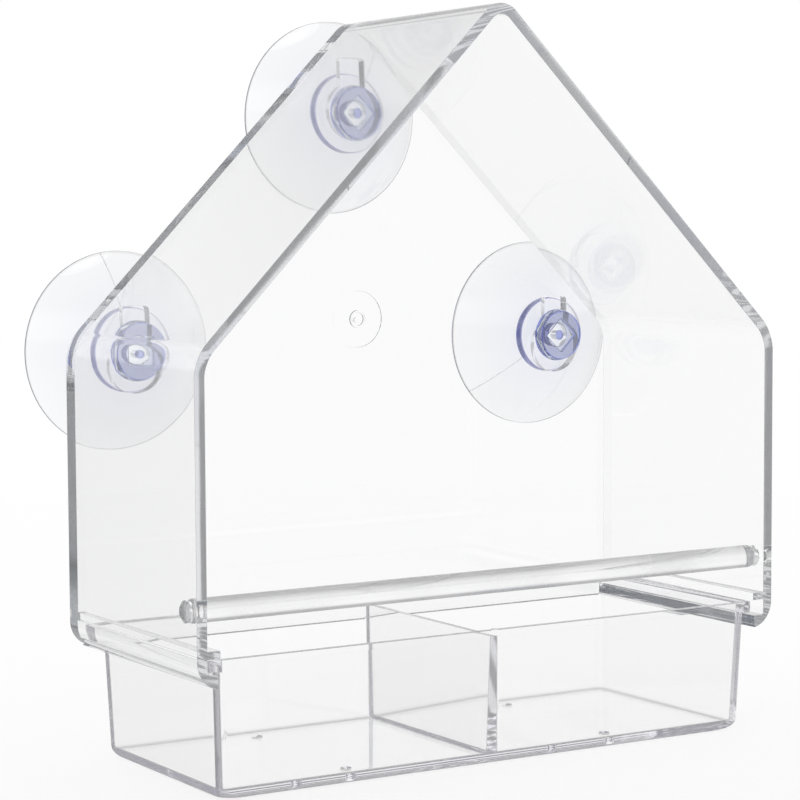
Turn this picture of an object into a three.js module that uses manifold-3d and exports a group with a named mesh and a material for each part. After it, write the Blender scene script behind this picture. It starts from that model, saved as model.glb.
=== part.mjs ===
// Window bird feeder: a clear moulded house that hangs on a window pane by three suction cups,
// with a seed tray that slides out to the front and a perch rod across the opening.
// Millimetres. X runs to the right, Y from the open front to the window, Z up.
// The tray stands on z = 0, and the middle of the whole feeder is at x = 0, y = 0.
import * as THREE from "three";
import { mergeVertices } from "three/addons/utils/BufferGeometryUtils.js";
import Module from "manifold-3d";

const wasm = await Module();
wasm.setup();

const degree = Math.PI / 180;

// House shell
const houseWidth = 150; // across the side walls, at the open front
const houseDepth = 63.5; // open front to the window face of the back panel
const eavesHeight = 68.4; // underside of the lips to the sharp corner of the eaves
const roofAngle = 45.2 * degree;
const wall = 2.4; // side walls and roof
const panel = 2.4; // back panel
const wallDraft = 1 * degree; // walls and roof lean in towards the back, so that the mould opens
const eavesRadius = 10;
const ridgeRadius = 5.4;
const footRadius = 6; // round corner where a side wall turns into its lip

// Lips that carry the tray, and the rails that keep it down
const lipReach = 5.7; // outer face of the wall to the tip of the lip
const lipThickness = 2.9;
const lipFillet = 0.6; // between the lip and the wall
const railReach = 3; // from the inner face of the wall
const railThickness = 1.7;
const slideGap = 0.3; // under the tray's flange
const railGap = 0.65; // over the tray's flange

// Keyholes in the back panel
const keyholeDiameter = 12.7;
const keyholeSlotWidth = 6.4;
const keyholeSlotRise = 11.9; // middle of the round hole to the top of the slot
const keyholeSlotRadius = 0.8;
const lowerKeyholeInset = 18.4; // from the outer face of the side wall
const lowerKeyholeDrop = 5.6; // below the sharp corner of the eaves
const upperKeyholeDrop = 25.1; // below the sharp ridge

// Gate well, where the plastic entered the mould, on the inner face of the back panel
const gateWellDiameter = 13.3;
const gateWellDepth = 0.5;
const gateNubDiameter = 4.4;
const gateNubHeight = 0.4;
const gateHeight = 71.2; // above the underside of the lips

// Seed tray
const trayHeight = 30.15;
const trayWall = 2.1;
const trayFloor = 2.2;
const trayDraft = 2.2 * degree;
const trayCornerRadius = 2.6;
const trayInnerCornerRadius = 2.8;
const trayBaseRadius = 2.5;
const trayFloorFillet = 2.5;
const flangeThickness = 2.65;
const flangeReach = 2.4; // beyond the end wall
const flangeCornerRadius = 1;
const trayEndGap = 0.55; // end wall to the tip of the lip
const trayRecess = 2.2; // open front of the house to the front of the tray
const trayBackGap = 2.4; // back of the tray to the back panel
const dividerTop = 1.6; // thickness of the divider at its upper edge
const dividerBase = 2.6; // and at the floor
const dividerDrop = 1.65; // its upper edge lies below the rim
const drainDiameter = 2.5;
const drainInset = 8.4; // from the front or back face of the tray, at the rim

// Perch rod
const perchDiameter = 5.2;
const perchTenonDiameter = 4.1;
const perchHoleDiameter = 4.7;
const perchHeight = 16; // axis above the underside of the lips
const perchSetback = 5.3; // axis behind the open front
const perchEndPlay = 0.3; // shoulder of the rod to the wall
const perchProud = 0.8; // the tenon shows outside the wall
const perchTipRadius = 1.1;

// Suction cups
const cupDiameter = 45.2;
const cupDepth = 10.8; // window face of the panel to the pane
const cupRimThickness = 0.9;
const cupRimLand = 1.2; // flat ring that meets the pane
const cupCrown = 2.7; // thickness at the middle of the dish
const cupCollarDiameter = 18;
const cupCollarThickness = 2.3;
const cupNeckDiameter = 5;
const cupSeatGap = 0.3; // collar and head to the panel
const cupHeadPlay = 0.05; // head in its round hole, all round
const cupHeadHeight = 2.4;
const cupHeadTaper = 0.5; // the head is smaller by this, all round, at its front face
const cupHeadRim = 0.7; // straight edge at the back of the head
const cupRecessWidth = 6.7; // square recess in the head
const cupRecessDepth = 1.6;
const lowerCupLift = 2.7; // neck above the middle of its round hole
const upperCupLift = -0.4;

// Fineness of the round forms
const filletSteps = 6;
const holeSteps = 32;
const cupSteps = 40;
const dishSteps = 6;
const perchSteps = 24;
const overrun = 2; // how far a cutting solid runs past the faces that it cuts
const mergeDistance = 1e-4;

// Places that follow from the sizes above
const halfWidth = houseWidth / 2;
const frontY = -(houseDepth + cupDepth) / 2;
const backY = frontY + houseDepth;
const flangeZ = trayHeight - flangeThickness;
const lipTopZ = flangeZ - slideGap;
const footZ = lipTopZ - lipThickness;
const railZ = trayHeight + railGap;
const eavesZ = footZ + eavesHeight;
const ridgeZ = eavesZ + halfWidth * Math.tan(roofAngle);
const lipTipX = halfWidth - lipReach;
const railTipX = halfWidth - wall - railReach;
const perchY = frontY + perchSetback;
const perchZ = footZ + perchHeight;
const lowerKeyholeX = halfWidth - lowerKeyholeInset;
const lowerKeyholeZ = eavesZ - lowerKeyholeDrop;
const upperKeyholeZ = ridgeZ - upperKeyholeDrop;
const trayHalfX = lipTipX - trayEndGap;
const trayFrontY = frontY + trayRecess;
const trayBackY = backY - panel - trayBackGap;

const clearPlastic = new THREE.MeshStandardMaterial({
  color: 0xf2f4f6,
  roughness: 0.04,
  metalness: 0,
  transparent: true,
  opacity: 0.35,
});
const trayPlastic = clearPlastic.clone();
trayPlastic.color.set(0xeeeef4);
const perchPlastic = clearPlastic.clone();
perchPlastic.opacity = 0.5;
const softVinyl = new THREE.MeshStandardMaterial({
  color: 0xc9cdee,
  roughness: 0.18,
  metalness: 0,
  transparent: true,
  opacity: 0.5,
});

// Turns a closed BufferGeometry into a solid that can be joined and cut.
function solidOf(geometry) {
  const bare = geometry.clone();
  bare.deleteAttribute("normal");
  bare.deleteAttribute("uv");
  const merged = mergeVertices(bare, mergeDistance);
  const index = merged.index.array;
  const kept = [];
  for (let i = 0; i < index.length; i += 3) {
    const [a, b, c] = index.slice(i, i + 3);
    if (a !== b && b !== c && c !== a) kept.push(a, b, c);
  }
  return new wasm.Manifold(
    new wasm.Mesh({
      numProp: 3,
      vertProperties: merged.attributes.position.array,
      triVerts: new Uint32Array(kept),
    }),
  );
}

function geometryOf(solid) {
  const mesh = solid.getMesh();
  const geometry = new THREE.BufferGeometry();
  geometry.setAttribute("position", new THREE.BufferAttribute(mesh.vertProperties, 3));
  geometry.setIndex(new THREE.BufferAttribute(mesh.triVerts, 1));
  geometry.computeVertexNormals();
  return geometry;
}

// A loop of 2-D points through corners given as [x, y, radius], each rounded by its radius.
function roundedLoop(corners) {
  return corners.flatMap(([x, y, radius], i) => {
    const corner = new THREE.Vector2(x, y);
    if (!radius) return [corner];
    const before = corners[(i + corners.length - 1) % corners.length];
    const after = corners[(i + 1) % corners.length];
    const toBefore = new THREE.Vector2(before[0] - x, before[1] - y).normalize();
    const toAfter = new THREE.Vector2(after[0] - x, after[1] - y).normalize();
    const halfAngle = Math.acos(toBefore.dot(toAfter)) / 2;
    const bisector = toBefore.clone().add(toAfter).normalize();
    const centre = corner.clone().addScaledVector(bisector, radius / Math.sin(halfAngle));
    const start = corner.clone().addScaledVector(toBefore, radius / Math.tan(halfAngle));
    const turn = toBefore.cross(toAfter) < 0 ? 1 : -1;
    const sweep = turn * (Math.PI - 2 * halfAngle);
    return Array.from({ length: filletSteps + 1 }, (_, step) =>
      start.clone().rotateAround(centre, (sweep * step) / filletSteps),
    );
  });
}

// A closed skin through a stack of loops with equal numbers of points. Each loop runs
// counter-clockwise for someone who looks along the stack.
function loft(loops) {
  const count = loops[0].length;
  const index = [];
  for (let level = 0; level + 1 < loops.length; level++) {
    for (let i = 0; i < count; i++) {
      const a = level * count + i;
      const b = level * count + ((i + 1) % count);
      index.push(a, a + count, b, b, a + count, b + count);
    }
  }
  const lastStart = (loops.length - 1) * count;
  for (const [a, b, c] of capFaces(loops[0])) {
    index.push(a, b, c, lastStart + a, lastStart + c, lastStart + b);
  }
  const position = loops.flat().flatMap((point) => point.toArray());
  const geometry = new THREE.BufferGeometry();
  geometry.setAttribute("position", new THREE.Float32BufferAttribute(position, 3));
  geometry.setIndex(index);
  return solidOf(geometry);
}

// Triangles over one end of a stack, each turning the same way as the loop does.
function capFaces(loop) {
  const alongY = loop.every((point) => point.y === loop[0].y);
  const contour = loop.map((point) => new THREE.Vector2(point.x, alongY ? point.z : point.y));
  const loopTurn = Math.sign(THREE.ShapeUtils.area(contour));
  return THREE.ShapeUtils.triangulateShape(contour, []).map(([a, b, c]) => {
    const faceTurn = Math.sign(THREE.ShapeUtils.area([contour[a], contour[b], contour[c]]));
    return faceTurn === loopTurn ? [a, b, c] : [a, c, b];
  });
}

// A solid along Y whose outline changes evenly from the first section to the last.
function alongY(sectionAt, startY, endY) {
  const placed = (y) => sectionAt(y).map((point) => new THREE.Vector3(point.x, y, point.y));
  return loft([placed(startY), placed(endY)]);
}

// Round bars for holes and studs.
function barAlongY(diameter, x, z, startY, endY) {
  const bar = new THREE.CylinderGeometry(diameter / 2, diameter / 2, endY - startY, holeSteps);
  bar.translate(x, (startY + endY) / 2, z);
  return solidOf(bar);
}

function barAlongX(diameter, y, z, halfLength) {
  const bar = new THREE.CylinderGeometry(diameter / 2, diameter / 2, 2 * halfLength, holeSteps);
  bar.rotateZ(Math.PI / 2);
  bar.translate(0, y, z);
  return solidOf(bar);
}

function barAlongZ(diameter, x, y, startZ, endZ) {
  const bar = new THREE.CylinderGeometry(diameter / 2, diameter / 2, endZ - startZ, holeSteps);
  bar.rotateX(Math.PI / 2);
  bar.translate(x, y, (startZ + endZ) / 2);
  return solidOf(bar);
}

// How far the walls and the roof have moved in at a place along Y.
function draftAt(y) {
  return (y - frontY) * Math.tan(wallDraft);
}

// Height of a roof face that is sunk by an inset square to itself.
function roofZ(x, inset) {
  return ridgeZ - x * Math.tan(roofAngle) - inset / Math.cos(roofAngle);
}

// Outline of the house seen from the front.
function outerOutline(y) {
  const inset = draftAt(y);
  const side = halfWidth - inset;
  return roundedLoop([
    [-side, footZ, footRadius],
    [side, footZ, footRadius],
    [side, roofZ(side, inset), eavesRadius],
    [0, roofZ(0, inset), ridgeRadius],
    [-side, roofZ(side, inset), eavesRadius],
  ]);
}

// Outline of the hollow: open below between the lips, with a rail standing out of each wall.
function hollowOutline(y) {
  const inset = draftAt(y) + wall;
  const side = halfWidth - inset;
  const rightSide = [
    [lipTipX, footZ - overrun, 0],
    [lipTipX, lipTopZ, 0],
    [side, lipTopZ, lipFillet],
    [side, railZ, 0],
    [railTipX, railZ, 0],
    [railTipX, railZ + railThickness, 0],
    [side, railZ + railThickness, 0],
    [side, roofZ(side, inset), eavesRadius - wall],
  ];
  const leftSide = rightSide.map(([x, z, radius]) => [-x, z, radius]).reverse();
  return roundedLoop([...rightSide, [0, roofZ(0, inset), ridgeRadius - wall], ...leftSide]);
}

// A keyhole: a round hole that lets a cup's head through, and a slot above it for the neck.
function keyholeCutter(x, z) {
  const startY = backY - panel - overrun;
  const endY = backY + overrun;
  const left = x - keyholeSlotWidth / 2;
  const right = x + keyholeSlotWidth / 2;
  const slot = roundedLoop([
    [left, z, 0],
    [right, z, 0],
    [right, z + keyholeSlotRise, keyholeSlotRadius],
    [left, z + keyholeSlotRise, keyholeSlotRadius],
  ]);
  return barAlongY(keyholeDiameter, x, z, startY, endY).add(alongY(() => slot, startY, endY));
}

function houseShell() {
  const outer = alongY(outerOutline, frontY, backY);
  const hollow = alongY(hollowOutline, frontY - overrun, backY - panel);
  const panelFaceY = backY - panel;
  const wellFloorY = panelFaceY + gateWellDepth;
  const gateZ = footZ + gateHeight;
  const gateWell = barAlongY(gateWellDiameter, 0, gateZ, panelFaceY - overrun, wellFloorY);
  const gateNub = barAlongY(gateNubDiameter, 0, gateZ, wellFloorY - gateNubHeight, backY - panel / 2);
  return outer
    .subtract(hollow)
    .subtract(keyholeCutter(-lowerKeyholeX, lowerKeyholeZ))
    .subtract(keyholeCutter(lowerKeyholeX, lowerKeyholeZ))
    .subtract(keyholeCutter(0, upperKeyholeZ))
    .subtract(barAlongX(perchHoleDiameter, perchY, perchZ, halfWidth + overrun))
    .subtract(gateWell)
    .add(gateNub);
}

// How far the tray's walls have moved in below its rim.
function trayDraftAt(z) {
  return (trayHeight - z) * Math.tan(trayDraft);
}

// A rounded rectangle round the middle of the tray, clockwise from above. The inset moves
// all sides in, and the flare moves the two ends out.
function trayLoop(z, inset, flare, radius) {
  const endX = trayHalfX + flare - inset;
  const loop = roundedLoop([
    [-endX, trayFrontY + inset, radius],
    [endX, trayFrontY + inset, radius],
    [endX, trayBackY - inset, radius],
    [-endX, trayBackY - inset, radius],
  ]);
  return loop.reverse().map((point) => new THREE.Vector3(point.x, point.y, z));
}

// A tub that narrows downwards, with a round lower edge and a given wall taken off.
function tub(wallInset, cornerRadius, edgeRadius, bottomZ, topZ) {
  const loops = [];
  for (let step = 0; step <= filletSteps; step++) {
    const angle = (Math.PI / 2) * (1 - step / filletSteps);
    const z = bottomZ + edgeRadius * (1 - Math.cos(Math.PI / 2 - angle));
    const pulledIn = edgeRadius * (1 - Math.cos(angle));
    const radius = cornerRadius - pulledIn / 2;
    loops.push(trayLoop(z, wallInset + trayDraftAt(z) + pulledIn, 0, radius));
  }
  loops.push(trayLoop(topZ, wallInset + trayDraftAt(topZ), 0, cornerRadius));
  return loft(loops);
}

// The divider is moulded with the tray, and thickens towards the floor.
function dividerWeb() {
  const topZ = trayHeight - dividerDrop;
  const section = roundedLoop([
    [-dividerBase / 2, trayFloor / 2, 0],
    [dividerBase / 2, trayFloor / 2, 0],
    [dividerTop / 2, topZ, 0],
    [-dividerTop / 2, topZ, 0],
  ]);
  const frontEnd = trayFrontY + trayWall / 2;
  const backEnd = trayBackY - trayWall / 2;
  return alongY(() => section, frontEnd, backEnd);
}

function seedTray() {
  const flangeLoop = (z) => trayLoop(z, trayDraftAt(z), flangeReach, flangeCornerRadius);
  const flange = loft([flangeLoop(flangeZ), flangeLoop(trayHeight)]);
  const outside = tub(0, trayCornerRadius, trayBaseRadius, 0, trayHeight);
  const inside = tub(
    trayWall,
    trayInnerCornerRadius,
    trayFloorFillet,
    trayFloor,
    trayHeight + overrun,
  );
  const drainX = (trayHalfX - trayWall + dividerBase / 2) / 2;
  let tray = outside.add(flange).subtract(inside).add(dividerWeb().intersect(outside));
  for (const x of [-drainX, drainX]) {
    for (const y of [trayFrontY + drainInset, trayBackY - drainInset]) {
      tray = tray.subtract(barAlongZ(drainDiameter, x, y, -overrun, trayFloor + overrun));
    }
  }
  return tray;
}

// Perch rod: a round bar with a thinner tenon at each end, which passes through the wall.
function perchRod() {
  const outerFace = halfWidth - draftAt(perchY);
  const shoulder = outerFace - wall - perchEndPlay;
  const tip = outerFace + perchProud;
  const rod = perchDiameter / 2;
  const tenon = perchTenonDiameter / 2;
  const half = new THREE.Path();
  half.moveTo(rod, shoulder);
  half.lineTo(tenon, shoulder);
  half.absarc(tenon - perchTipRadius, tip - perchTipRadius, perchTipRadius, 0, Math.PI / 2);
  half.lineTo(0, tip);
  const rightEnd = half.getPoints(filletSteps);
  const leftEnd = rightEnd.map((point) => new THREE.Vector2(point.x, -point.y)).reverse();
  const lathe = new THREE.LatheGeometry([...leftEnd, ...rightEnd], perchSteps);
  lathe.rotateZ(-Math.PI / 2);
  lathe.translate(0, perchY, perchZ);
  return solidOf(lathe);
}

// Points along a circle centred on the axis, from one radius and height to another.
function domeArc(startRadius, startY, endRadius, endY) {
  const squares = endRadius ** 2 - startRadius ** 2 + endY ** 2 - startY ** 2;
  const centreY = squares / (2 * (endY - startY));
  const sphere = Math.hypot(startRadius, centreY - startY);
  const startAngle = Math.atan2(startRadius, centreY - startY);
  const endAngle = Math.atan2(endRadius, centreY - endY);
  return Array.from({ length: dishSteps }, (_, step) => {
    const angle = startAngle + ((endAngle - startAngle) * (step + 1)) / dishSteps;
    return new THREE.Vector2(sphere * Math.sin(angle), centreY - sphere * Math.cos(angle));
  });
}

// Suction cup in one soft piece: head, neck, collar and dish, turned about the Y axis.
function suctionCup(x, z, recessAngle) {
  const headRadius = keyholeDiameter / 2 - cupHeadPlay;
  const headBack = backY - panel - cupSeatGap;
  const headFront = headBack - cupHeadHeight;
  const neckRadius = cupNeckDiameter / 2;
  const collarRadius = cupCollarDiameter / 2;
  const collarFront = backY + cupSeatGap;
  const collarBack = collarFront + cupCollarThickness;
  const rimRadius = cupDiameter / 2;
  const rimY = backY + cupDepth;
  const landRadius = rimRadius - cupRimLand;
  const outline = [
    [0, headFront],
    [headRadius - cupHeadTaper, headFront],
    [headRadius, headBack - cupHeadRim],
    [headRadius, headBack],
    [neckRadius, headBack],
    [neckRadius, collarFront],
    [collarRadius, collarFront],
    [collarRadius, collarBack],
  ].map(([radius, y]) => new THREE.Vector2(radius, y));
  outline.push(...domeArc(collarRadius, collarBack, rimRadius, rimY - cupRimThickness));
  outline.push(new THREE.Vector2(rimRadius, rimY));
  outline.push(new THREE.Vector2(landRadius, rimY));
  outline.push(...domeArc(landRadius, rimY, 0, collarFront + cupCrown));
  const lathe = new THREE.LatheGeometry(outline, cupSteps);
  lathe.translate(x, 0, z);
  const recess = new THREE.BoxGeometry(
    cupRecessWidth,
    cupRecessDepth + overrun,
    cupRecessWidth,
  );
  recess.rotateY(recessAngle);
  recess.translate(x, headFront + (cupRecessDepth - overrun) / 2, z);
  return solidOf(lathe).subtract(solidOf(recess));
}

const feeder = new THREE.Group();

function addPiece(name, solid, material) {
  const mesh = new THREE.Mesh(geometryOf(solid), material);
  mesh.name = name;
  feeder.add(mesh);
}

const lowerCupZ = lowerKeyholeZ + lowerCupLift;
const upperCupZ = upperKeyholeZ + upperCupLift;
const recessTurn = 45 * degree;

addPiece("house_shell", houseShell(), clearPlastic);
addPiece("seed_tray", seedTray(), trayPlastic);
addPiece("perch_rod", perchRod(), perchPlastic);
addPiece("suction_cup_left", suctionCup(-lowerKeyholeX, lowerCupZ, 0), softVinyl);
addPiece("suction_cup_right", suctionCup(lowerKeyholeX, lowerCupZ, recessTurn), softVinyl);
addPiece("suction_cup_top", suctionCup(0, upperCupZ, recessTurn), softVinyl);

export default feeder;
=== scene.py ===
# Window bird feeder: clear moulded house, sliding seed tray, perch rod and three suction cups
import math

import bmesh
import bpy
from mathutils import Matrix, Vector


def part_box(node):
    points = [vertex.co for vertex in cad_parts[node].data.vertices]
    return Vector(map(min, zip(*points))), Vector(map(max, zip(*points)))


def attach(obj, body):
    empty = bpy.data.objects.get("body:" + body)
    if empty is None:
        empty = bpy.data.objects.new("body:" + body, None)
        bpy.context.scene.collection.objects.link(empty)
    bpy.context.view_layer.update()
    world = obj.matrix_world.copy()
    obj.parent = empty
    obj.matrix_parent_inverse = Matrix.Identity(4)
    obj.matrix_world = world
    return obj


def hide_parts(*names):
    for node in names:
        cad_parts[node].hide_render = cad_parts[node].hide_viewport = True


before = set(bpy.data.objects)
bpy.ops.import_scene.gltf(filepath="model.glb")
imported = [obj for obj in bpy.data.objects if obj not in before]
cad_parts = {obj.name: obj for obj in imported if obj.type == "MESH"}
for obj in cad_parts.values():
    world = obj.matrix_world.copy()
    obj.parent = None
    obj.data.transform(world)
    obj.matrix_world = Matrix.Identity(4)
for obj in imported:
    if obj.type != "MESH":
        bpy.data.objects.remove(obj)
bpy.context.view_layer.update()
print("frame loaded:", ", ".join(sorted(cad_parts)))

milli = 0.001  # pieces are modelled in millimetres and scaled down when they are done
overrun = 2  # how far a cutting block runs past the face that it opens
weld = 1e-4  # vertices closer than this become one
closeBy = 0.1  # a face or corner this close to a place counts as being there
white = (1, 1, 1)


def nodeBox(node):
    low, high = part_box(node)
    return low / milli, high / milli


# Helpers for solids

def roundedFace(bm, corners, steps=14):
    # one flat face in the XZ plane through (x, z, radius) corners
    verts = [bm.verts.new((x, 0, z)) for x, z, radius in corners]
    bm.faces.new(verts)
    for vert, (x, z, radius) in zip(verts, corners):
        if radius:
            toward = [edge.other_vert(vert).co - vert.co for edge in vert.link_edges]
            halfAngle = toward[0].angle(toward[1]) / 2
            bmesh.ops.bevel(
                bm, geom=[vert], offset=radius / math.tan(halfAngle), offset_type="OFFSET",
                segments=steps, profile=0.5, affect="VERTICES", material=-1,
            )
    bm.faces.ensure_lookup_table()
    return bm.faces[0]


def meshObject(name, bm):
    bmesh.ops.remove_doubles(bm, verts=bm.verts, dist=weld)
    bmesh.ops.recalc_face_normals(bm, faces=bm.faces)
    mesh = bpy.data.meshes.new(name)
    bm.to_mesh(mesh)
    bm.free()
    obj = bpy.data.objects.new(name, mesh)
    bpy.context.scene.collection.objects.link(obj)
    return obj


def combine(target, others, operation):
    # joins or cuts with each of the others, which are used up
    for other in others:
        modifier = target.modifiers.new(operation, "BOOLEAN")
        modifier.operation = operation
        modifier.solver = "EXACT"
        modifier.object = other
        evaluated = target.evaluated_get(bpy.context.evaluated_depsgraph_get())
        target.data = bpy.data.meshes.new_from_object(evaluated)
        target.modifiers.clear()
        bpy.data.objects.remove(other)
    return target


def bar(name, diameter, start, end, steps=96):
    start, end = Vector(start), Vector(end)
    turn = Vector((0, 0, 1)).rotation_difference(end - start).to_matrix().to_4x4()
    bm = bmesh.new()
    bmesh.ops.create_cone(
        bm, cap_ends=True, segments=steps, radius1=diameter / 2, radius2=diameter / 2,
        depth=(end - start).length, matrix=Matrix.Translation((start + end) / 2) @ turn,
    )
    return meshObject(name, bm)


def block(name, low, high, lean=0, radius=0, baseRadius=0, steps=4):
    # a box whose sides lean in towards its base, with rounded upright and lower edges
    low, high = Vector(low), Vector(high)
    middle = (low + high) / 2
    bm = bmesh.new()
    place = Matrix.Translation(middle) @ Matrix.Diagonal((*(high - low), 1))
    bmesh.ops.create_cube(bm, size=1, matrix=place)
    base = [v for v in bm.verts if v.co.z < middle.z]
    size = high - low
    narrower = (1 - 2 * lean / size.x, 1 - 2 * lean / size.y, 1)
    bmesh.ops.scale(bm, vec=narrower, space=Matrix.Translation(-middle), verts=base)
    for rounding, upright in ((radius, True), (baseRadius, False)):
        if rounding:
            edges = [e for e in bm.edges if all(abs(v.co.z - low.z) < 1e-3 for v in e.verts)]
            if upright:
                edges = [e for e in bm.edges if abs(e.verts[0].co.z - e.verts[1].co.z) > size.z / 2]
            bmesh.ops.bevel(
                bm, geom=edges, offset=rounding, offset_type="OFFSET", segments=steps,
                profile=0.5, affect="EDGES", material=-1,
            )
    return meshObject(name, bm)


def loft(name, sections, steps=8):
    # a solid through level outlines, each a height and four (x, y, radius) corners
    bm = bmesh.new()
    rings = []
    for height, corners in sections:
        known = set(bm.verts)
        roundedFace(bm, corners, steps)
        ring = [v for v in bm.verts if v not in known]
        level = Matrix.Translation((0, 0, height)) @ Matrix.Rotation(-math.pi / 2, 4, "X")
        bmesh.ops.transform(bm, matrix=level, verts=ring)
        rings.append(ring)
    inside = [ring[0].link_faces[0] for ring in rings[1:-1]]
    bmesh.ops.delete(bm, geom=inside, context="FACES_ONLY")
    loops = [{e for v in ring for e in v.link_edges} for ring in rings]
    for upper, lower in zip(loops, loops[1:]):
        bmesh.ops.bridge_loops(bm, edges=list(upper | lower))
    return meshObject(name, bm)


def quarter(radius, steps=5):
    # the (in, down) steps of a rounded edge, from its upright end to its level end
    turns = [math.pi / 2 * step / steps for step in range(steps + 1)]
    return [(radius * (1 - math.cos(turn)), radius * math.sin(turn)) for turn in turns]


def turned(name, corners, place, steps):
    # a (radius, height, rounding) profile, closed on the axis, spun round Z and then placed
    bm = bmesh.new()
    roundedFace(bm, corners, 8)
    bmesh.ops.remove_doubles(bm, verts=bm.verts, dist=weld)
    bmesh.ops.delete(bm, geom=bm.faces[:], context="FACES_ONLY")
    onAxis = [e for e in bm.edges if all(abs(v.co.x) < weld for v in e.verts)]
    bmesh.ops.delete(bm, geom=onAxis, context="EDGES")
    bmesh.ops.spin(
        bm, geom=bm.verts[:] + bm.edges[:], cent=(0, 0, 0), axis=(0, 0, 1),
        angle=2 * math.pi, steps=steps, use_merge=True,
    )
    bmesh.ops.transform(bm, matrix=place, verts=bm.verts)
    return meshObject(name, bm)


def softenEdges(obj, width, steps=3, sharpest=40, flattest=0.3):
    # the small radius that a mould leaves on every sharp edge
    bm = bmesh.new()
    bm.from_mesh(obj.data)
    bmesh.ops.remove_doubles(bm, verts=bm.verts, dist=1e-3)
    bmesh.ops.dissolve_limit(
        bm, angle_limit=math.radians(flattest), verts=bm.verts, edges=bm.edges, delimit={"SHARP"},
    )
    limit = math.radians(sharpest)
    sharp = [e for e in bm.edges if e.is_manifold and e.calc_face_angle() > limit]
    bmesh.ops.bevel(
        bm, geom=sharp, offset=width, offset_type="OFFSET", segments=steps, profile=0.5,
        affect="EDGES", clamp_overlap=True, material=-1,
    )
    bm.to_mesh(obj.data)
    bm.free()


def finishPiece(obj, body, node, material, sharpest=35):
    mesh = obj.data
    bm = bmesh.new()
    bm.from_mesh(mesh)
    bmesh.ops.remove_doubles(bm, verts=bm.verts, dist=weld)
    bmesh.ops.scale(bm, vec=(milli,) * 3, verts=bm.verts)
    openEdges = sum(not e.is_manifold for e in bm.edges)
    bm.to_mesh(mesh)
    bm.free()
    mesh.materials.clear()
    mesh.materials.append(material)
    mesh.shade_smooth()
    mesh.set_sharp_from_angle(angle=math.radians(sharpest))
    weighted = obj.modifiers.new("weighted", "WEIGHTED_NORMAL")
    weighted.keep_sharp = True
    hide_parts(node)
    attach(obj, body)
    print(f"{obj.name}: {len(mesh.polygons)} faces, {openEdges} open edges")


# Materials

clearPlastic = {"ior": 1.5, "roughness": 0.03, "density": 3.6, "tint": (0.12, 0.18, 0.26), "wave": 0.02}
rodPlastic = {"ior": 1.5, "roughness": 0.2, "density": 3.6, "tint": (0.12, 0.18, 0.26), "wave": 0.02}
trayPlastic = {"ior": 1.5, "roughness": 0.03, "density": 2.8, "tint": (0.25, 0.2, 0.42), "wave": 0.02}
softVinyl = {"ior": 1.5, "roughness": 0.03, "density": 16.0, "tint": (0.1, 0.2, 0.5), "wave": 0.05}

# haze and waves that every clear surface here has
surface = {
    "hazeScale": 35, "hazeDetail": 3, "hazeRange": (0.35, 0.75), "hazeSpread": (0.5, 2),
    "waveScale": 45, "waveDetail": 1,
}


def clearMaterial(name, settings):
    material = bpy.data.materials.new(name)
    material.use_nodes = True
    nodes, links = material.node_tree.nodes, material.node_tree.links
    shader = nodes["Principled BSDF"]
    shader.inputs["Base Color"].default_value = (*white, 1)
    shader.inputs["IOR"].default_value = settings["ior"]
    shader.inputs["Transmission Weight"].default_value = 1
    where = nodes.new("ShaderNodeTexCoord")
    haze = nodes.new("ShaderNodeTexNoise")
    haze.inputs["Scale"].default_value = surface["hazeScale"]
    haze.inputs["Detail"].default_value = surface["hazeDetail"]
    links.new(where.outputs["Object"], haze.inputs["Vector"])
    rough = nodes.new("ShaderNodeMapRange")
    for end, edge, share in zip(("Min", "Max"), surface["hazeRange"], surface["hazeSpread"]):
        rough.inputs[f"From {end}"].default_value = edge
        rough.inputs[f"To {end}"].default_value = settings["roughness"] * share
    links.new(haze.outputs["Fac"], rough.inputs["Value"])
    links.new(rough.outputs["Result"], shader.inputs["Roughness"])
    flow = nodes.new("ShaderNodeTexNoise")
    flow.inputs["Scale"].default_value = surface["waveScale"]
    flow.inputs["Detail"].default_value = surface["waveDetail"]
    links.new(where.outputs["Object"], flow.inputs["Vector"])
    bump = nodes.new("ShaderNodeBump")
    bump.inputs["Strength"].default_value = settings["wave"]
    bump.inputs["Distance"].default_value = milli
    links.new(flow.outputs["Fac"], bump.inputs["Height"])
    links.new(bump.outputs["Normal"], shader.inputs["Normal"])
    absorb = nodes.new("ShaderNodeVolumeAbsorption")
    absorb.inputs["Color"].default_value = (*settings["tint"], 1)
    absorb.inputs["Density"].default_value = settings["density"]
    links.new(absorb.outputs["Volume"], nodes["Material Output"].inputs["Volume"])
    return material


shellMaterial = clearMaterial("clearShell", clearPlastic)
trayMaterial = clearMaterial("clearTray", trayPlastic)
perchMaterial = clearMaterial("clearRod", rodPlastic)
vinylMaterial = clearMaterial("softVinyl", softVinyl)


def paint(obj, colourAt):
    # gives each corner of each face its colour
    mesh = obj.data
    tintsAndShade = mesh.attributes.new("faceTintAndShade", "FLOAT_COLOR", "CORNER")
    for face in mesh.polygons:
        for corner in face.loop_indices:
            vert = mesh.vertices[mesh.loops[corner].vertex_index].co
            tintsAndShade.data[corner].color = (*colourAt(face, vert), 1)


def facesTintAndShade(material):
    # some faces are darker than the rest, by the colours that the piece carries: painted shade, and on
    # the vinyl its own tint too
    nodes, links = material.node_tree.nodes, material.node_tree.links
    colour = nodes.new("ShaderNodeAttribute")
    colour.attribute_name = "faceTintAndShade"
    links.new(colour.outputs["Color"], nodes["Principled BSDF"].inputs["Base Color"])


facesTintAndShade(shellMaterial)  # painted shade: the dark strip at the panel's foot
facesTintAndShade(trayMaterial)  # the rim, darkened as painted shade
facesTintAndShade(vinylMaterial)  # the thick head and collar, with painted shade on the vinyl's edges, mould line and rim


# House shell

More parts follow.
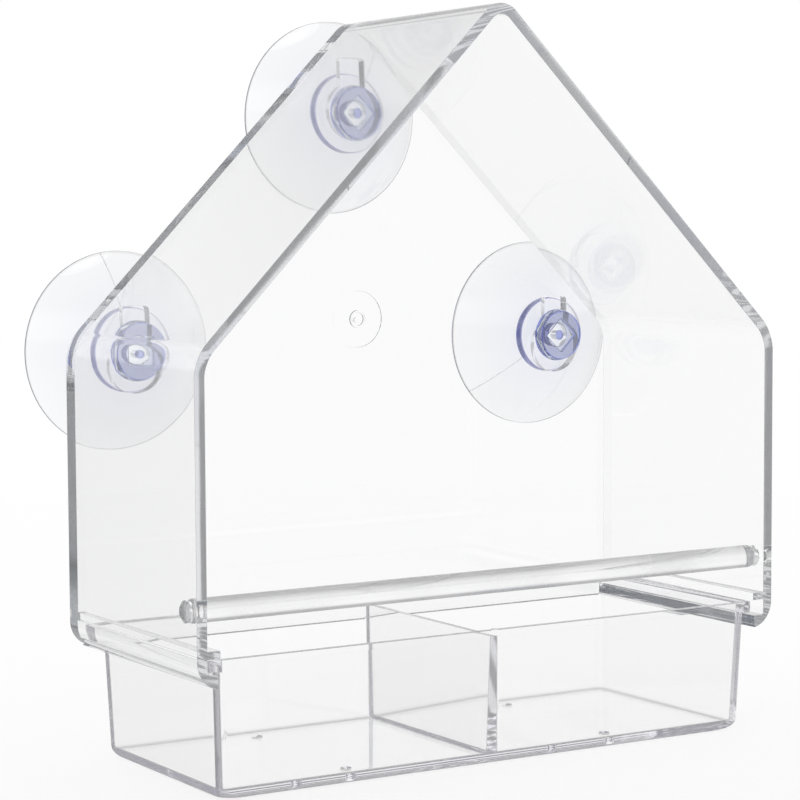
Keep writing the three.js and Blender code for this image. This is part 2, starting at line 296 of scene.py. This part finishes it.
house = {
    "wall": 2.4, "panel": 2.4, "eaves": 68.4, "roofAngle": 45.2, "draft": 1.0, "coreDraft": 1.4,
    "eavesRadius": 10, "ridgeRadius": 5.4, "footRadius": 6,
    "lipReach": 4.9, "lipThickness": 2.9, "lipFillet": 0.6,
    "railReach": 3, "railLow": 6.5, "railHigh": 8.2,
    "perchHole": 4.7, "perchBack": 5.3, "perchUp": 16,
    "holeDiameter": 12.7, "slotWidth": 6.4, "slotRise": 12.05, "slotRadius": 0.8,
    "lowerHoleInset": 18.4, "lowerHoleDrop": 5.6, "upperHoleDrop": 25.1,
    "gateUp": 71.2, "wellDiameter": 13.3, "wellDepth": 0.3,
    "nubDiameter": 4.1, "nubHeight": 0.5, "dimpleDiameter": 3.1, "dimpleDepth": 0.4,
    "pipDiameter": 1.2, "pipSide": -0.4, "pipUp": -0.2, "pipDrop": 0.05,
    # the last two numbers set the height and tone of the painted shade under the panel's foot
    "edge": 0.25, "footShadeHeight": 0.33, "footShadeTone": 0.16,
}
houseLow, houseHigh = nodeBox("house_shell")
foot, front, back, halfWidth = houseLow.z, houseLow.y, houseHigh.y, houseHigh.x
panelFace = back - house["panel"]
roofTurn = math.radians(house["roofAngle"])
ridge = foot + house["eaves"] + halfWidth * math.tan(roofTurn)
innerSide = halfWidth - house["wall"]
innerRidge = ridge - house["wall"] / math.cos(roofTurn)
# walls and roof touch one circle, so scaling round its centre moves them all in evenly
roundCentre = ridge - halfWidth / math.cos(roofTurn)
railLow, railTop = foot + house["railLow"], foot + house["railHigh"]
lipTip, lipTop = halfWidth - house["lipReach"], foot + house["lipThickness"]
railTip = innerSide - house["railReach"]


def leanIn(bm, verts, distance, draft):
    # the mould's draft: walls and roof come in, lips and rails stay level
    share, lipShare = (
        1 - distance * math.tan(math.radians(angle)) / halfWidth for angle in (draft, house["draft"])
    )
    roofStart, tips = railTop + 1, railTip + house["railReach"] / 2
    outside = [v for v in verts if v.co.z < roofStart and abs(v.co.x) > tips]
    centre = Matrix.Translation((0, 0, -roundCentre))
    for chosen, scale in (
        ([v for v in verts if v.co.z >= roofStart], (share, 1, share)),
        ([v for v in outside if v.co.z > railTop - closeBy], (share, 1, 1)),
        ([v for v in outside if v.co.z <= railTop - closeBy], (lipShare, 1, 1)),
    ):
        bmesh.ops.scale(bm, vec=scale, space=centre, verts=chosen)


def housePrism(name, corners, startY, endY, draft):
    bm = bmesh.new()
    face = roundedFace(bm, corners)
    nearVerts = bm.verts[:]
    made = bmesh.ops.extrude_face_region(bm, geom=[face])["geom"]
    farVerts = [g for g in made if isinstance(g, bmesh.types.BMVert)]
    bmesh.ops.translate(bm, verts=nearVerts, vec=(0, startY, 0))
    bmesh.ops.translate(bm, verts=farVerts, vec=(0, endY, 0))
    leanIn(bm, nearVerts, startY - front, draft)
    leanIn(bm, farVerts, endY - front, draft)
    return meshObject(name, bm)


def bothSides(rightSide, middle):
    return [*rightSide, *middle, *((-x, z, radius) for x, z, radius in reversed(rightSide))]


outerCorners = bothSides([
    (halfWidth, foot, house["footRadius"]),
    (halfWidth, foot + house["eaves"], house["eavesRadius"]),
], [(0, ridge, house["ridgeRadius"])])
innerCorners = bothSides([
    (lipTip, foot - overrun, 0),
    (lipTip, lipTop, 0),
    (innerSide, lipTop, house["lipFillet"]),
    (innerSide, railLow, 0),
    (railTip, railLow, 0),
    (railTip, railTop, 0),
    (innerSide, railTop, 0),
    (innerSide, innerRidge - innerSide * math.tan(roofTurn), house["eavesRadius"] - house["wall"]),
], [(0, innerRidge, house["ridgeRadius"] - house["wall"])])


def keyhole(name, x, z):
    half, top = house["slotWidth"] / 2, z + house["slotRise"]
    bm = bmesh.new()
    face = roundedFace(bm, [
        (x - half, z, 0), (x + half, z, 0),
        (x + half, top, house["slotRadius"]), (x - half, top, house["slotRadius"]),
    ], 6)
    near = bm.verts[:]
    made = bmesh.ops.extrude_face_region(bm, geom=[face])["geom"]
    far = [g for g in made if isinstance(g, bmesh.types.BMVert)]
    bmesh.ops.translate(bm, verts=near, vec=(0, panelFace - overrun, 0))
    bmesh.ops.translate(bm, verts=far, vec=(0, back + overrun, 0))
    slot = meshObject("slot", bm)
    hole = bar(name, house["holeDiameter"], (x, panelFace - overrun, z), (x, back + overrun, z))
    return combine(hole, [slot], "UNION")


lowerHoleX = halfWidth - house["lowerHoleInset"]
lowerHoleZ = foot + house["eaves"] - house["lowerHoleDrop"]
upperHoleZ = ridge - house["upperHoleDrop"]
perchY, perchZ = front + house["perchBack"], foot + house["perchUp"]
gateZ = foot + house["gateUp"]


def paintShadeAtFoot(shell):
    # painted shade: a narrow strip under the panel's foot is darkened, so that it is seen as a dark
    # line
    shadeTop = foot + house["footShadeHeight"]
    bm = bmesh.new()
    bm.from_mesh(shell.data)
    bmesh.ops.bisect_plane(
        bm, geom=bm.verts[:] + bm.edges[:] + bm.faces[:], dist=weld,
        plane_co=(0, 0, shadeTop), plane_no=(0, 0, 1),
    )
    bm.to_mesh(shell.data)
    bm.free()
    edge = house["edge"]

    # painted shade: the panel's faces below the strip's top get the dark tone
    def footShade(face, vert):
        middle = face.center
        onPanel = panelFace - edge < middle.y < back - edge and abs(middle.x) < lipTip
        return (house["footShadeTone"],) * 3 if onPanel and middle.z < shadeTop else white

    paint(shell, footShade)


def makeHouse():
    shell = housePrism("houseShell", outerCorners, front, back, house["draft"])
    wellFloor = panelFace + house["wellDepth"]
    combine(shell, [
        housePrism("hollow", innerCorners, front - overrun, panelFace, house["coreDraft"]),
        keyhole("leftKeyhole", -lowerHoleX, lowerHoleZ),
        keyhole("rightKeyhole", lowerHoleX, lowerHoleZ),
        keyhole("topKeyhole", 0, upperHoleZ),
        bar("gateWell", house["wellDiameter"], (0, panelFace - overrun, gateZ), (0, wellFloor, gateZ)),
    ], "DIFFERENCE")
    nubTop = wellFloor - house["nubHeight"]
    dimpleFloor, inPanel = nubTop + house["dimpleDepth"], back - 1
    combine(shell, [
        bar("gateNub", house["nubDiameter"], (0, nubTop, gateZ), (0, inPanel, gateZ), 48),
    ], "UNION")
    combine(shell, [
        bar("nubDimple", house["dimpleDiameter"], (0, nubTop - 1, gateZ), (0, dimpleFloor, gateZ), 32),
        bar("perchHole", house["perchHole"], (-halfWidth - overrun, perchY, perchZ),
            (halfWidth + overrun, perchY, perchZ)),
    ], "DIFFERENCE")
    pipX, pipZ = house["pipSide"], gateZ + house["pipUp"]
    pipTop = nubTop + house["pipDrop"]
    combine(shell, [
        bar("nubPip", house["pipDiameter"], (pipX, pipTop, pipZ), (pipX, inPanel, pipZ), 24),
    ], "UNION")
    softenEdges(shell, house["edge"])
    paintShadeAtFoot(shell)
    finishPiece(shell, "house", "house_shell", shellMaterial)


makeHouse()
print("house shell done")


# Seed tray

tray = {
    "wall": 1.95, "floor": 2.2, "draft": 2.2, "flare": 0.7, "cornerRadius": 2.2, "baseRadius": 2.5,
    "innerRadius": 0.45, "rimLand": 1, "rimDrop": 0.36, "floorFillet": 0.5,
    "flange": 2.65, "flangeReach": 2, "flangeRadius": 1, "flangeGap": 0.03,
    "dividerTop": 1.6, "dividerBase": 2.6, "dividerDrop": 1.65,
    # the last tone is painted shade that darkens the rim
    "endClear": 10, "drain": 2.5, "drainInset": 8.4, "edge": 0.22, "rimShadeTone": 0.9,
}
trayLow, trayHigh = nodeBox("seed_tray")


def trayOutline(height, left, right, near, far, radius, flare=tray["flare"]):
    # the tray is a little narrower at the back, like the house that it slides into
    narrow = math.tan(math.radians(flare)) / trayHigh.x
    middle = (trayLow.y + trayHigh.y) / 2
    corners = zip((left, right, right, left), (near, near, far, far))
    return height, [(x * (1 - narrow * (y - middle)), y, radius) for x, y in corners]


def makeTray():
    rim, nearY, farY = trayHigh.z, trayLow.y, trayHigh.y
    endX = trayHigh.x - tray["flangeReach"]
    slope = math.tan(math.radians(tray["draft"]))
    base, fillet, floor, wall = (tray[key] for key in ("baseRadius", "floorFillet", "floor", "wall"))

    def outer(height, inset):
        lean = (rim - height) * slope + inset
        return trayOutline(height, lean - endX, endX - lean, nearY + lean, farY - lean,
                           tray["cornerRadius"] + inset)

    def flange(height, inset):
        reach, gap = trayHigh.x - inset, inset + tray["flangeGap"]
        return trayOutline(height, -reach, reach, nearY + gap, farY - gap, tray["flangeRadius"], 0)

    webTop, webTopHalf = rim - tray["dividerDrop"], tray["dividerTop"] / 2
    webLean = (tray["dividerBase"] / 2 - webTopHalf) / (webTop - floor)

    def inner(height, inset, side):
        lean = (rim - height) * slope + wall + inset
        web = webTopHalf + (webTop - height) * webLean + inset
        left, right = sorted((side * web, side * (endX - lean)))
        return trayOutline(height, left, right, nearY + lean, farY - lean,
                           tray["innerRadius"] + max(-inset, 0))

    outside = loft("seedTray", [
        outer(rim, 0), *(outer(base - down, inset) for inset, down in quarter(base)),
    ])
    combine(outside, [
        loft("flange", [flange(rim, 0), flange(rim - tray["flange"], tray["flange"] * slope)]),
    ], "UNION")
    for side in (-1, 1):
        fillets = [inner(floor + fillet - down, inset, side) for inset, down in quarter(fillet)]
        rimLevel, rimEdge = inner(rim, tray["rimLand"] - wall, side)
        compartment = loft("compartment", [
            (rim + overrun, rimEdge), (rimLevel, rimEdge),
            inner(rim - tray["rimDrop"], 0, side), *fillets,
        ])
        combine(outside, [compartment], "DIFFERENCE")
    overX = endX - wall - tray["endClear"]
    over = block("overDivider", (-overX, nearY + wall, webTop), (overX, farY - wall, rim + overrun))
    combine(outside, [over], "DIFFERENCE")
    drainX = (endX - wall + tray["dividerBase"] / 2) / 2
    drains = [
        bar("drain", tray["drain"], (x, y, -overrun), (x, y, floor + overrun), 40)
        for x in (-drainX, drainX) for y in (nearY + tray["drainInset"], farY - tray["drainInset"])
    ]
    combine(outside, drains, "DIFFERENCE")
    softenEdges(outside, tray["edge"])
    # painted shade: the rim's faces are darkened, for the dark line that light turned along the rim
    # shows
    rimShadeTone, rimFoot = (tray["rimShadeTone"],) * 3, rim - tray["rimDrop"]
    paint(outside, lambda face, vert: rimShadeTone if face.center.z > rimFoot else white)
    finishPiece(outside, "tray", "seed_tray", trayMaterial)


makeTray()
print("seed tray done")


# Perch rod

perch = {"diameter": 5.2, "tenon": 4.1, "play": 0.3, "shoulderRadius": 0.54, "tipRadius": 1.1}
perchLow, perchHigh = nodeBox("perch_rod")


def makePerch():
    tip = perchHigh.x
    lean = house["perchBack"] * math.tan(math.radians(house["draft"]))
    shoulder = innerSide - lean - perch["play"]
    rod, tenon = perch["diameter"] / 2, perch["tenon"] / 2
    along = Matrix.Translation((0, perchY, perchZ)) @ Matrix.Rotation(math.pi / 2, 4, "Y")
    obj = turned("perchRod", [
        (0, -tip, 0), (tenon, -tip, perch["tipRadius"]), (tenon, -shoulder, 0),
        (rod, -shoulder, perch["shoulderRadius"]), (rod, shoulder, perch["shoulderRadius"]),
        (tenon, shoulder, 0), (tenon, tip, perch["tipRadius"]), (0, tip, 0),
    ], along, 96)
    finishPiece(obj, "perch", "perch_rod", perchMaterial)


makePerch()
print("perch rod done")


# Suction cups

cup = {
    "headBack": 12.6, "headTaper": 0.5, "headHeight": 2.4, "headRim": 0.7, "neck": 5.6,
    "collar": 18, "collarThickness": 2.3, "gap": 0.3, "crown": 2.7,
    "rim": 45.2, "rimThickness": 0.95, "rimRounding": 0.44, "land": 0.95,
    "outerDome": (16.64, 4.376, 34.2), "innerDome": (11.36, 2.75, 33.2),
    "fineEdge": 0.2, "smallEdge": 0.3, "softEdge": 0.4, "collarEdge": 0.5,
    "recess": 6.3, "recessDepth": 0.9, "recessTaper": 0.15,
    "pit": 2.4, "pitDepth": 4.6, "pitTaper": 0.1, "pitRounding": 0.9, "pitOver": 0.5,
    "sideShadeWidth": 0.65, "crownWidth": 0.8, "rimShadeWidth": 0.4,
    "lineWidth": 0.22, "lineHeight": 0.12, "lineRoot": 0.4,
}
# the vinyl is darker where it is thick; the head's side and the collar's edge are darkened further, and
# the mould line and the thin rim are grey, as painted shade for the dark lines that these edges show
vinylTintsAndShade = {
    # side and collar add painted shade to the vinyl's blue, line and rim are grey painted shade; the
    # rest is the vinyl's own tint
    "side": (0.2, 0.26, 0.9), "head": (0.56, 0.58, 0.73), "recess": (0.95, 0.98, 1),
    "pit": (0.3, 0.35, 0.8), "crown": (1, 1, 1), "collar": (0.14, 0.145, 0.42),
    "line": (0.8, 0.8, 0.84), "disc": (0.87, 0.88, 0.95), "rim": (0.45, 0.44, 0.42),
}


def makeCup(name, node, body, x, z, recessTurn, lineTurn):
    head, neck, collar, rim = (cup[key] / 2 for key in ("headBack", "neck", "collar", "rim"))
    fine, small, soft = cup["fineEdge"], cup["smallEdge"], cup["softEdge"]
    gap, land = cup["gap"], rim - cup["land"]
    headBack = -house["panel"] - gap
    headFront = headBack - cup["headHeight"]
    collarBack = gap + cup["collarThickness"]
    pane = nodeBox(node)[1].y - back
    outward = Matrix.Translation((x, back, z)) @ Matrix.Rotation(-math.pi / 2, 4, "X")
    outerR, outerUp, outerRound = cup["outerDome"]
    innerR, innerUp, innerRound = cup["innerDome"]
    obj = turned(name, [
        (0, headFront, 0),
        (head - cup["headTaper"], headFront, small),
        (head, headBack - cup["headRim"], soft),
        (head, headBack, fine),
        (neck, headBack, soft),
        (neck, gap, soft),
        (collar, gap, small),
        (collar, collarBack, cup["collarEdge"]),
        (outerR, gap + outerUp, outerRound),
        (rim, pane - cup["rimThickness"], cup["rimRounding"]),
        (rim, pane, cup["rimRounding"]),
        (land, pane, small),
        (innerR, gap + innerUp, innerRound),
        (0, gap + cup["crown"], 0),
    ], outward, 128)
    recessFloor = back + headFront + cup["recessDepth"]
    half, taper = cup["recess"] / 2, cup["recessTaper"]
    recess = block("recess", (-half, -half, 0), (half, half, 2 * overrun), taper, small, taper)
    turn = Matrix.Translation((x, recessFloor, z)) @ Matrix.Rotation(math.radians(recessTurn), 4, "Y")
    recess.data.transform(turn @ Matrix.Rotation(math.pi / 2, 4, "X"))
    combine(obj, [recess], "DIFFERENCE")
    pitMouth, pitDepth, pitOver = cup["pit"] / 2, cup["pitDepth"], cup["pitOver"]
    pit = turned("pit", [
        (0, pitOver, 0), (pitMouth, pitOver, 0),
        (pitMouth - cup["pitTaper"], -pitDepth, cup["pitRounding"]), (0, -pitDepth, 0),
    ], Matrix.Translation((x, recessFloor, z)) @ Matrix.Rotation(math.pi / 2, 4, "X"), 48)
    combine(obj, [pit], "DIFFERENCE")
    raised, sunk = gap - cup["lineHeight"], gap + cup["lineRoot"]
    bm = bmesh.new()
    rimUp = pane - cup["rimThickness"] - gap
    roundedFace(bm, [
        (collar, raised + cup["collarThickness"], 0), (outerR, raised + outerUp, outerRound),
        (rim, raised + rimUp, 0), (rim, sunk + rimUp, 0),
        (outerR, sunk + outerUp, outerRound), (collar, sunk + cup["collarThickness"], 0),
    ], 8)
    made = bmesh.ops.extrude_face_region(bm, geom=bm.faces[:])["geom"]
    side = [g for g in made if isinstance(g, bmesh.types.BMVert)]
    bmesh.ops.translate(bm, verts=bm.verts, vec=(0, -cup["lineWidth"] / 2, 0))
    bmesh.ops.translate(bm, verts=side, vec=(0, cup["lineWidth"], 0))
    spoke = outward @ Matrix.Rotation(-math.radians(lineTurn), 4, "Z")
    bmesh.ops.transform(bm, matrix=spoke, verts=bm.verts)
    combine(obj, [meshObject("mouldLine", bm)], "UNION")
    lineX, lineZ = math.cos(math.radians(lineTurn)), math.sin(math.radians(lineTurn))
    recessUp, sideShadeFrom = headFront + cup["recessDepth"], head - cup["sideShadeWidth"]

    def vinylTintAndShade(face, vert):
        fromX, fromZ = face.center.x - x, face.center.z - z
        across, outOf = math.hypot(fromX, fromZ), face.center.y - back
        onLine = abs(fromZ * lineX - fromX * lineZ) < cup["lineWidth"] / 2 + closeBy / 10
        lineSide = across > collar and fromX * lineX + fromZ * lineZ > 0 and face.normal.y < closeBy
        if across < pitMouth + closeBy / 2 and recessUp + closeBy < outOf < gap:
            return vinylTintsAndShade["pit"]
        if outOf > gap and across < neck + cup["crownWidth"]:
            return vinylTintsAndShade["crown"]
        if abs(outOf - recessUp) < closeBy:
            return vinylTintsAndShade["recess"]
        # painted shade: the head's side ring is darkened
        if outOf < headBack + closeBy:
            return vinylTintsAndShade["side" if across > sideShadeFrom else "head"]
        # painted shade: the collar's edge face is darkened
        if 0 < outOf < collarBack and collar - fine < across < collar + closeBy / 2:
            return vinylTintsAndShade["collar"]
        # painted shade: the thin rim is grey
        if across > rim - cup["rimShadeWidth"]:
            return vinylTintsAndShade["rim"]
        # painted shade: the mould line is grey
        if onLine and lineSide:
            return vinylTintsAndShade["line"]
        thinness = math.hypot(vert.x - x, vert.z - z) / rim
        return Vector(vinylTintsAndShade["disc"]).lerp(Vector(white), thinness)

    paint(obj, vinylTintAndShade)
    finishPiece(obj, body, node, vinylMaterial, 50)


def cupPlace(node):
    low, high = nodeBox(node)
    return (low.x + high.x) / 2, (low.z + high.z) / 2


# how many degrees each recess and mould line is turned
cupTurns = {"Top": (45, 53), "Left": (0, 100), "Right": (45, 218)}
for place, turns in cupTurns.items():
    cupNode = f"suction_cup_{place.lower()}"
    makeCup(f"suctionCup{place}", cupNode, f"cup_{place.lower()}", *cupPlace(cupNode), *turns)
print("suction cups done")


# Floor, world and lamp

studio = {
    "floorRadius": 0.5, "floorDrop": 0.0001, "floorTone": 0.92, "floorRoughness": 0.7,
    "glowFlat": 0.985, "glowSteep": 0.4, "glowRange": (0.5, 0.9),
    "turnedOnce": 0.6, "turnedOften": 0.38, "manyTurns": 0.8, "manyRange": (4, 12),
    "ceiling": 0.5, "ceilingRange": (0.32, 0.56), "onceRange": (0.06, 0.14),
    "lamp": 8, "lampSize": 1.8, "lampPlace": (-0.2, 0.1, 1.4), "lampTarget": (0, 0, 0.08),
    "bounces": 96,
}


def ramp(nodes, links, value, span, low, high):
    # a smooth step from low to high, which are numbers or sockets
    node = nodes.new("ShaderNodeMapRange")
    node.interpolation_type = "SMOOTHSTEP"
    node.inputs["From Min"].default_value, node.inputs["From Max"].default_value = span
    for name, level in (("To Min", low), ("To Max", high)):
        if isinstance(level, bpy.types.NodeSocket):
            links.new(level, node.inputs[name])
        else:
            node.inputs[name].default_value = level
    links.new(value, node.inputs["Value"])
    return node.outputs["Result"]


def surroundings(nodes, links, even, once):
    # even for straight rays; a ray that the plastic has turned away meets the dim side of the room
    turns = nodes.new("ShaderNodeLightPath").outputs["Glossy Depth"]
    away = nodes.new("ShaderNodeMath")
    away.operation = "MODULO"
    away.inputs[1].default_value = 2
    links.new(turns, away.inputs[0])
    often = ramp(nodes, links, turns, studio["manyRange"], even, studio["manyTurns"])
    odd = ramp(nodes, links, turns, (1, 3), once, studio["turnedOften"])
    return ramp(nodes, links, away.outputs["Value"], (0, 1), often, odd)


def makeFloor():
    bm = bmesh.new()
    bmesh.ops.create_circle(bm, cap_ends=True, segments=96, radius=studio["floorRadius"])
    mesh = bpy.data.meshes.new("floor")
    bm.to_mesh(mesh)
    bm.free()
    floor = bpy.data.objects.new("floor", mesh)
    floor.location.z = -studio["floorDrop"]
    bpy.context.scene.collection.objects.link(floor)
    material = bpy.data.materials.new("paleFloor")
    material.use_nodes = True
    nodes, links = material.node_tree.nodes, material.node_tree.links
    shader = nodes["Principled BSDF"]
    shader.inputs["Base Color"].default_value = (*(studio["floorTone"],) * 3, 1)
    shader.inputs["Roughness"].default_value = studio["floorRoughness"]
    shader.inputs["Specular IOR Level"].default_value = 0
    # painted reflection: an emission glow stands in for a satin gloss taking the white of the room, the
    # more the flatter it is looked at
    reflectionGlow = nodes.new("ShaderNodeEmission")
    links.new(surroundings(nodes, links, 1, studio["turnedOnce"]), reflectionGlow.inputs["Strength"])
    facing = nodes.new("ShaderNodeLayerWeight").outputs["Facing"]
    paintedReflectionShare = ramp(nodes, links, facing, studio["glowRange"], studio["glowSteep"], studio["glowFlat"])
    diffuse = nodes.new("ShaderNodeLightPath").outputs["Is Diffuse Ray"]
    mix = nodes.new("ShaderNodeMixShader")
    links.new(ramp(nodes, links, diffuse, (0, 1), paintedReflectionShare, 0), mix.inputs["Fac"])
    links.new(shader.outputs["BSDF"], mix.inputs[1])
    links.new(reflectionGlow.outputs["Emission"], mix.inputs[2])
    links.new(mix.outputs["Shader"], nodes["Material Output"].inputs["Surface"])
    mesh.materials.append(material)


def makeWorld():
    world = bpy.data.worlds.new("studio")
    bpy.context.scene.world = world
    world.use_nodes = True
    nodes, links = world.node_tree.nodes, world.node_tree.links
    background = nodes["Background"]
    background.inputs["Color"].default_value = (*white, 1)
    apart = nodes.new("ShaderNodeSeparateXYZ")
    links.new(nodes.new("ShaderNodeTexCoord").outputs["Generated"], apart.inputs["Vector"])
    height = apart.outputs["Z"]
    ceiling = ramp(nodes, links, height, studio["ceilingRange"], 1, studio["ceiling"])
    once = ramp(nodes, links, height, studio["onceRange"], studio["turnedOnce"], ceiling)
    links.new(surroundings(nodes, links, ceiling, once), background.inputs["Strength"])


def makeLamp():
    lamp = bpy.data.lights.new("softLamp", "AREA")
    lamp.shape = "DISK"
    lamp.size = studio["lampSize"]
    lamp.energy = studio["lamp"]
    obj = bpy.data.objects.new("softLamp", lamp)
    obj.location = studio["lampPlace"]
    down = Vector(studio["lampTarget"]) - obj.location
    obj.rotation_euler = down.to_track_quat("-Z", "Y").to_euler()
    bpy.context.scene.collection.objects.link(obj)


makeFloor()
makeWorld()
makeLamp()
print("studio done")

# Camera, its place and angles fitted to the photograph's edges
view = {
    "place": (-0.33199, -0.53252, 0.13106), "yaw": 0.5532, "pitch": 0.0842, "roll": -0.0052,
    "focalPixels": 2761.7, "imagePixels": 800, "sensor": 36,
}
cameraData = bpy.data.cameras.new("camera")
cameraData.sensor_width = view["sensor"]
cameraData.lens = view["focalPixels"] / view["imagePixels"] * view["sensor"]
cameraData.clip_start = 0.01
camera = bpy.data.objects.new("camera", cameraData)
camera.matrix_world = (
    Matrix.Translation(view["place"])
    @ Matrix.Rotation(-view["yaw"], 4, "Z")
    @ Matrix.Rotation(math.pi / 2 - view["pitch"], 4, "X")
    @ Matrix.Rotation(view["roll"], 4, "Z")
)
bpy.context.scene.collection.objects.link(camera)
scene = bpy.context.scene
scene.camera = camera
scene.view_settings.view_transform = "Standard"
# light runs far along the clear edges, so it takes many bounces
scene.cycles.max_bounces = studio["bounces"]
scene.cycles.transmission_bounces = studio["bounces"]
scene.cycles.glossy_bounces = studio["bounces"]
